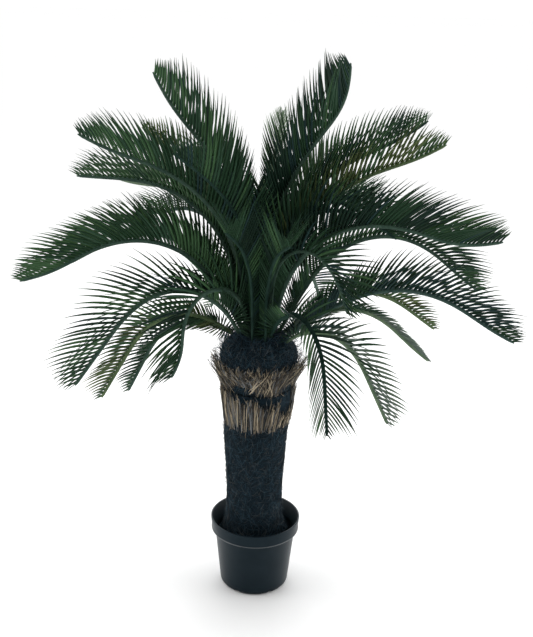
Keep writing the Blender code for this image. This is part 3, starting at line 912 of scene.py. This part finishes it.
def spine_of(bearing, foot, rise, fall, bend, curl, length):
    """Points of a frond's midline, by the source's rule."""
    share = np.linspace(0.0, 1.0, RIB_STATIONS)
    mid = 0.5 * (share[1:] + share[:-1])
    turn = ease((mid - bend + BEND_SPREAD) / (2 * BEND_SPREAD))
    tip = ease((mid - CURL_START) / (1 - CURL_START))
    climb = np.radians(rise + (fall - rise) * turn + curl * tip)
    heading = math.radians(bearing)
    flat = np.cos(climb)
    way = np.stack([flat * math.cos(heading), flat * math.sin(heading), np.sin(climb)], axis=1)
    radius = foot / 1000
    drop = (CROWN_TOP[1] - CROWN_SHOULDER[1]) / (CROWN_SHOULDER[0] - CROWN_TOP[0])
    height = CROWN_TOP[1] - max(0.0, radius - CROWN_TOP[0]) * drop
    start = [radius * math.cos(heading), radius * math.sin(heading), height]
    step = length / (RIB_STATIONS - 1)
    return share, np.vstack([start, start + np.cumsum(way * step, axis=0)])


def frames_of(points, bearing, roll):
    """Tangent, sideways and upper direction at each point of a midline."""
    tangents = unit(np.gradient(points, axis=0))
    heading = math.radians(bearing)
    level = np.array([math.sin(heading), -math.cos(heading), 0.0])
    crown = np.cross(level, tangents)
    turn = math.radians(roll)
    side = level * math.cos(turn) - crown * math.sin(turn)
    upper = crown * math.cos(turn) + level * math.sin(turn)
    return tangents, side, upper


def leaflet_length(share):
    """Share of the full reach: short by the bare petiole and towards the tip."""
    first = 0.55 + 0.45 * ease(share / PETIOLE_SHARE)
    start = ease((share - PETIOLE_SHARE) / 0.30)
    end = np.maximum(0.0, (share - TAPER_START) / (1 - TAPER_START)) ** 1.1
    return first * (0.52 + 0.48 * start) * (1 - 0.80 * end)


def at(share, table, where):
    """Rows of a table along a rib, read between its stations."""
    return np.stack([np.interp(where, share, table[:, k]) for k in range(3)], -1)


def kept_share(root, ahead, lengths):
    """How much of each leaflet is left where it would cross the parting of the crown."""
    heights, left, right = zip(*PARTING)
    kept = np.ones(len(root))
    for share in np.linspace(1.0, 0.3, 15):
        place = share * (LEAFLET_STEPS - 1)
        low = min(int(place), LEAFLET_STEPS - 2)
        here = ahead[:, low] + (ahead[:, low + 1] - ahead[:, low]) * (place - low)
        x, _, z = (root + here * lengths[:, None]).T
        past_left = x > np.interp(z, heights, left)
        short_of_right = x < np.interp(z, heights, right)
        kept = np.where((z > heights[0]) & past_left & short_of_right, share, kept)
    return kept


def wander(where, hand, pace, row, split):
    """Slow noise along a rib, one value a leaflet. split sets how far the two sides differ."""
    spots = [(pace * w, row, split * h) for w, h in zip(where, hand[:, 0])]
    return np.array([noise.noise(Vector(spot)) for spot in spots])


def leaflet_places(name, length, rng):
    """Where along the rib each leaflet stands, and its side of it, 1 or -1."""
    per_side = int((0.985 - FIRST_LEAFLET) * length / (LEAFLET_PITCH * APART.get(name, 1.0)))
    even = np.linspace(0.0, 1.0, per_side)
    even = np.concatenate([even, even[even < FOOT_SHARE] + 0.5 / per_side])
    where = FIRST_LEAFLET + (LAST_LEAFLET - FIRST_LEAFLET) * even * (0.92 + 0.08 * even)
    late = rng.uniform(0.0, 0.25) * LEAFLET_PITCH / length
    where = np.concatenate([where, where + late]).clip(0, 0.992)
    hand = np.repeat([1.0, -1.0], len(even))[:, None]
    return where + rng.normal(0, 0.0003 / length, len(where)), hand


def leaflet_flow(name, index, where, hand, tangent, across, crown, rng):
    """Direction at each station of each leaflet, from its root to its tip."""
    count = len(where)
    wave = wander(where, hand, 7, 5.1 * index, 2.0)
    sweep = SWEEPS.get(name, LEAFLET_SWEEP)
    sweep = sweep + (LEAFLET_TIP_SWEEP - LEAFLET_SWEEP) * ease((where - 0.6) / 0.4)
    sweep = sweep + FOOT_SPREAD * (1 - ease((where - 0.02) / 0.10))
    sweep = np.radians(sweep + 5.0 * wave + rng.normal(0, 0.8, count))
    lift = LIFTS.get(name, LEAFLET_LIFT) - FOOT_LEAN * (1 - ease(where / 0.12))
    if name in HANGING:
        hangs = (hand[:, 0] == HANGING[name]) * (1 - ease((where - FOOT_SHARE) / 0.20))
        lift = lift - (lift + HANG_ANGLE) * hangs
    lift = np.radians(lift + 8.0 * wave + rng.normal(0, 1.2, count))
    steps = np.linspace(0, 1, LEAFLET_STEPS)
    fan = sweep[:, None] + np.radians(7.0 - 14.0 * steps)[None, :]
    outer = hand * across * np.cos(lift)[:, None] + crown * np.sin(lift)[:, None]
    flow = tangent[:, None] * np.cos(fan)[..., None] + outer[:, None] * np.sin(fan)[..., None]
    droop = rng.normal(0.12, 0.02, count)[:, None, None] * (steps**1.5)[None, :, None]
    return unit(flow + droop * np.array([0.0, 0.0, -1.0]))


def leaflet_halves(where, lengths):
    """Half widths along each leaflet: narrow by the foot and the frond's tip, and pointed."""
    steps = np.linspace(0, 1, LEAFLET_STEPS)
    width = LEAFLET_WIDTH * (0.72 + 0.28 * np.minimum(1.0, lengths / 0.09))
    width = width * (FOOT_WIDTH + (1 - FOOT_WIDTH) * ease((where - 0.16) / 0.12))
    width = width * (1 - 0.14 * ease((where - 0.55) / 0.45))
    shape = (0.80 + 0.20 * ease(steps / 0.20)) * (1 - ease((steps - 0.46) / 0.57)) ** 0.7
    return 0.5 * width[:, None] * np.maximum(shape, 0.06)[None, :]


def leaflet_tones(name, tint, index, where, hand, rng):
    """The colours of a tint, and which of them each leaflet takes."""
    keys, running = shares_of(TINTS["dusty" if name in DUSTY else tint])
    bands = wander(where, hand, 9, 3.7 * index, 0.5)
    # Partly painted light: some fronds' leaflets shift paler, partly for their own tint, partly for
    # the glow of backlit leaflets.
    paler = PALER_TINT_AND_GLOW.get(name, 0.0) + 0.30 * (where - 0.5)
    level = 0.5 + 0.95 * bands + paler + rng.normal(0, 0.08, len(where))
    return keys, np.searchsorted(running, np.clip(level, 0.0, 0.999))


def make_leaflets(name, row, index, mats):
    """One piece of all the leaflets on a frond, each with its own upper and lower colour."""
    bearing, foot, rise, fall, bend, curl, length, reach, tint = row
    rng = np.random.default_rng(1000 + index)
    share, points = spine_of(bearing, foot, rise, fall, bend, curl, length)
    tables = frames_of(points, bearing, ROLL.get(name, 0))
    where, hand = leaflet_places(name, length, rng)
    count = len(where)
    tangent, across, crown = (unit(at(share, table, where)) for table in tables)
    flow = leaflet_flow(name, index, where, hand, tangent, across, crown, rng)
    rib = RIB_BASE_HALF + (RIB_TIP_HALF - RIB_BASE_HALF) * where[:, None]
    root = at(share, points, where) + across * hand * rib * 0.7 + crown * rib * 0.35
    mids = unit(0.5 * (flow[:, 1:] + flow[:, :-1]))
    ahead = np.cumsum(mids / (LEAFLET_STEPS - 1), axis=1)
    ahead = np.concatenate([np.zeros((count, 1, 3)), ahead], axis=1)
    lengths = LEAFLET_REACH * reach * leaflet_length(where) * rng.normal(1.0, 0.03, count)
    lengths = lengths * (1 - CUT_BACK.get(name, 0.0) * ease((where - 0.72) / 0.26))
    lengths = lengths * kept_share(root, ahead, lengths)
    paths = root[:, None] + ahead * lengths[:, None, None]
    ways = unit(np.gradient(paths, axis=1))
    broad = hand * tangent
    broad = unit(broad[:, None] - ways * (broad[:, None] * ways).sum(-1, keepdims=True))
    upward = np.cross(ways, broad)
    broad, upward = turned_frames(broad, upward, rng.normal(0, 0.10, count))
    halves = leaflet_halves(where, lengths)
    verts, faces, owners, sides = swept(paths, broad, upward, halves, LEAFLET_SECTION)
    keys, picks = leaflet_tones(name, tint, index, where, hand, rng)
    slots = 2 * picks[owners] + (sides >= 2)
    pair = [mat for key in keys for mat in mats[key]]
    piece = mesh_object(f"leaflets_{name}", verts, faces, pair, slots)
    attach(piece, "root")
    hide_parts(f"frond_{name}")


def make_rib(name, row, mats):
    """The rib with its petiole: a channel above, thin at the foot, its root sunk in the fibre."""
    bearing, foot, rise, fall, bend, curl, length, _, tint = row
    share, points = spine_of(bearing, foot, rise, fall, bend, curl, length)
    tangents, side, upper = frames_of(points, bearing, ROLL.get(name, 0))
    root = points[0] - tangents[0] * 0.006
    points = np.vstack([root, points])
    share = np.concatenate([[-0.01], share])
    side = np.vstack([side[:1], side])
    upper = np.vstack([upper[:1], upper])
    half = RIB_BASE_HALF + (RIB_TIP_HALF - RIB_BASE_HALF) * np.clip(share, 0, 1)
    half = half * (0.74 + 0.41 * ease(share / 0.25))
    half = half * (0.75 if name.startswith("front_") else 1.0)
    half[-1] *= 0.4
    verts, faces, _, _ = swept(points[None], -side[None], upper[None], half[None], RIB_SECTION)
    # Ribs that run in the crown's shade take the dark colours: painted shade.
    kind = "dark" if name in RIBS_IN_PAINTED_SHADE else "pale" if name in DUSTY else tint
    piece = mesh_object(f"rib_{name}", verts, faces, [mats[kind]])
    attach(piece, "root")
    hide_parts(f"frond_{name}")


def rib_materials():
    made = {}
    for tint, (dark, light) in RIB_COLOURS.items():
        shine = 0.06 if tint == "dark" else 0.18
        made[tint] = mottled(
            f"rib_{tint}", dark, light,
            patch=0.020, grain=0.0016, bump=0.00015, rough=(0.45, 0.62), specular=shine,
        )
    return made


# ---- camera, floor and light


def make_camera():
    pitch, yaw, roll = (math.radians(a) for a in (CAMERA_PITCH, CAMERA_YAW, CAMERA_ROLL))
    flat = math.cos(pitch)
    ahead = Vector((math.sin(yaw) * flat, math.cos(yaw) * flat, -math.sin(pitch)))
    level = Vector((math.cos(yaw), -math.sin(yaw), 0.0))
    above = level.cross(ahead)
    right = level * math.cos(roll) + above * math.sin(roll)
    up = above * math.cos(roll) - level * math.sin(roll)
    data = bpy.data.cameras.new("camera")
    data.sensor_width = SENSOR
    data.lens = FOCAL_PIXELS * SENSOR / FRAME_HEIGHT
    data.clip_start = 0.05
    camera = bpy.data.objects.new("camera", data)
    bpy.context.scene.collection.objects.link(camera)
    turn = Matrix((right, up, -ahead)).transposed().to_4x4()
    camera.matrix_world = Matrix.Translation(CAMERA_PLACE) @ turn
    bpy.context.scene.camera = camera


def area_light(name, place, size, power):
    data = bpy.data.lights.new(name, "AREA")
    data.shape = "SQUARE"
    data.size = size
    data.energy = power
    light = bpy.data.objects.new(name, data)
    light.location = place
    aim = Vector(LIT_POINT) - Vector(place)
    light.rotation_mode = "QUATERNION"
    light.rotation_quaternion = aim.to_track_quat("-Z", "Y")
    bpy.context.scene.collection.objects.link(light)


def make_world():
    """Pale all round, darker in front and above, as where the room behind the camera is unlit."""
    world = bpy.data.worlds.new("studio")
    world.use_nodes = True
    nodes, links = world.node_tree.nodes, world.node_tree.links
    coords = nodes.new("ShaderNodeTexCoord")
    toward = nodes.new("ShaderNodeVectorMath")
    toward.operation = "DOT_PRODUCT"
    toward.inputs[1].default_value = DARK_SIDE
    links.new(coords.outputs["Generated"], toward.inputs[0])
    fade = nodes.new("ShaderNodeMapRange")
    fade.interpolation_type = "SMOOTHSTEP"
    set_inputs(fade, {"From Min": WORLD_FADE[0], "From Max": WORLD_FADE[1]})
    set_inputs(fade, {"To Min": WORLD_BRIGHT, "To Max": WORLD_DARK})
    links.new(toward.outputs["Value"], fade.inputs["Value"])
    nodes["Background"].inputs["Color"].default_value = (1.0, 1.0, 1.0, 1.0)
    links.new(fade.outputs["Result"], nodes["Background"].inputs["Strength"])
    bpy.context.scene.world = world


def make_studio():
    bpy.ops.mesh.primitive_plane_add(size=FLOOR_SIZE, location=(0.0, 0.0, -FLOOR_DROP))
    floor = bpy.context.object
    floor.name = "studio_floor"
    white = plain("studio_floor", (0.98, 0.98, 0.98), roughness=1.0, specular=0.0)
    floor.data.materials.append(white)
    make_world()
    for name, (place, size, power) in BOXES.items():
        area_light(name, place, size, power)
    bpy.context.scene.view_settings.view_transform = "Standard"


def strand_materials(name, table, roughness, specular, tone=1.0):
    """A plain material for each colour of the table, made darker by a tone under 1 as painted shade
    and lighter by one over 1 as painted light.
    """
    return [
        plain(f"{name}_{k + 1}", [tone * v for v in colour], roughness, specular)
        for k, (colour, _) in enumerate(table)
    ]


def main():
    coir_mats = strand_materials("coir", COIR_COLOURS, 0.75, 0.25)
    straw_mats = strand_materials("straw", STRAW_COLOURS, 0.7, 0.3)
    core_mat = mottled(
        "coir_core", (0.0036, 0.0090, 0.0140), (0.0120, 0.0240, 0.0340),
        patch=0.008, grain=0.0018, bump=0.0009, rough=(0.85, 1.0), specular=0.2,
    )
    make_pot()
    # Darker copies of the coir as painted shade in the fill, lighter ones as painted light on the
    # crown.
    fill_shaded_mats = strand_materials("fill_coir_painted_shade", COIR_COLOURS, 0.75, 0.25, FILL_PAINTED_SHADE)
    crown_lit_mats = strand_materials("crown_coir_painted_light", COIR_COLOURS, 0.75, 0.25, CROWN_PAINTED_LIGHT)
    make_fill(fill_shaded_mats)
    make_trunk(coir_mats, core_mat)
    make_collars(straw_mats, coir_mats, core_mat)
    make_crown(crown_lit_mats, core_mat)
    leaves = leaf_materials()
    ribs = rib_materials()
    for index, (name, row) in enumerate(FRONDS.items()):
        make_leaflets(name, row, index, leaves)
        make_rib(name, row, ribs)
    make_camera()
    make_studio()


main()
